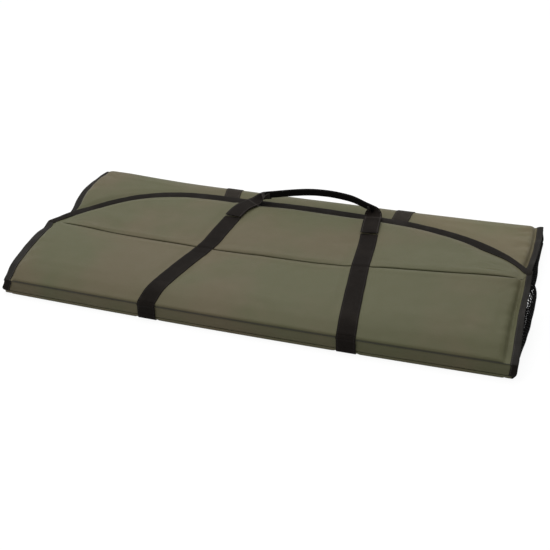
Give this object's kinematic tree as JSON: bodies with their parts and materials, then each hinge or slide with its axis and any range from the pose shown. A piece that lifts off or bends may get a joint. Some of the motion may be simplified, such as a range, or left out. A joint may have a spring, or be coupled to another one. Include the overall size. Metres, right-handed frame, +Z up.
{
  "type": "unhooking mat",
  "caption": "Padded carp unhooking mat, folded for carrying: side walls with arched cover flaps fold over a foam base, with net ends, webbing straps and a webbing handle.",
  "frame": {"origin": "middle of the underside of the folded mat, on the surface it lies on", "axes": "+X along the mat towards its right end as seen from the front, +Y from the front spine to the rear spine, +Z up"},
  "size_m": [1.0646, 0.5034, 0.0963],
  "materials": {
    "cover_cloth": "coated olive woven cloth, slight sheen",
    "lining_cloth": "smooth coated olive lining cloth",
    "foam": "closed-cell grey foam sheet, matte",
    "binding_tape": "black woven binding tape, matte",
    "webbing": "black woven webbing, soft sheen",
    "net_cord": "black knitted net cord"
  },
  "bodies": {
    "base": {"base_cover": "cover_cloth", "base_foam": "foam", "base_liner": "lining_cloth", "base_strap_left": "webbing", "base_strap_right": "webbing", "base_tape_left": "binding_tape", "base_tape_right": "binding_tape", "front_spine": "cover_cloth", "rear_spine": "cover_cloth", "front_spine_tape_left": "binding_tape", "front_spine_tape_right": "binding_tape", "rear_spine_tape_left": "binding_tape", "rear_spine_tape_right": "binding_tape", "front_net_left": "net_cord", "front_net_right": "net_cord", "rear_net_left": "net_cord", "rear_net_right": "net_cord"},
    "front_wall": {"front_wall_cover": "cover_cloth", "front_wall_foam": "foam", "front_wall_liner": "lining_cloth", "front_wall_strap_left": "webbing", "front_wall_strap_right": "webbing", "front_wall_tape_left": "binding_tape", "front_wall_tape_right": "binding_tape"},
    "front_flap": {"front_flap_cover": "cover_cloth", "front_flap_foam": "foam", "front_flap_liner": "lining_cloth", "front_flap_strap_left": "webbing", "front_flap_strap_right": "webbing", "front_flap_tape": "binding_tape"},
    "front_handle": {"front_handle_web_left": "webbing", "front_handle_web_right": "webbing", "front_grip": "webbing"},
    "rear_wall": {"rear_wall_cover": "cover_cloth", "rear_wall_foam": "foam", "rear_wall_liner": "lining_cloth", "rear_wall_strap_left": "webbing", "rear_wall_strap_right": "webbing", "rear_wall_tape_left": "binding_tape", "rear_wall_tape_right": "binding_tape"},
    "rear_flap": {"rear_flap_cover": "cover_cloth", "rear_flap_foam": "foam", "rear_flap_liner": "lining_cloth", "rear_flap_strap_left": "webbing", "rear_flap_strap_right": "webbing", "rear_flap_tape": "binding_tape"},
    "rear_handle": {"rear_handle_web_left": "webbing", "rear_handle_web_right": "webbing", "rear_grip": "webbing"}
  },
  "joints": [
    {"name": "front_wall_fold", "type": "hinge", "parent": "base", "child": "front_wall", "pos_m": [0, -0.2495, 0.0345], "axis": [1, 0, 0], "range_deg": [0, 85], "deforming": ["front_net_left", "front_net_right"]},
    {"name": "front_flap_fold", "type": "hinge", "parent": "front_wall", "child": "front_flap", "pos_m": [0, -0.0345, 0.0505], "axis": [1, 0, 0], "range_deg": [0, 95]},
    {"name": "front_handle_swing", "type": "hinge", "parent": "front_flap", "child": "front_handle", "pos_m": [0, 0.0975, 0.0548], "axis": [1, 0, 0], "range_deg": [0, 150]},
    {"name": "rear_wall_fold", "type": "hinge", "parent": "base", "child": "rear_wall", "pos_m": [0, 0.2495, 0.0345], "axis": [-1, 0, 0], "range_deg": [0, 85], "deforming": ["rear_net_left", "rear_net_right"]},
    {"name": "rear_flap_fold", "type": "hinge", "parent": "rear_wall", "child": "rear_flap", "pos_m": [0, 0.0345, 0.026], "axis": [1, 0, 0], "range_deg": [0, 170]},
    {"name": "rear_handle_swing", "type": "hinge", "parent": "rear_flap", "child": "rear_handle", "pos_m": [0, -0.0975, 0.0343], "axis": [-1, 0, 0], "range_deg": [0, 30]}
  ],
  "couplings": [
    {"joint": "rear_wall_fold", "follows": "front_wall_fold", "ratio": 1},
    {"joint": "rear_flap_fold", "follows": "front_wall_fold", "ratio": 2},
    {"joint": "rear_handle_swing", "follows": "front_wall_fold", "ratio": 0.35}
  ]
}
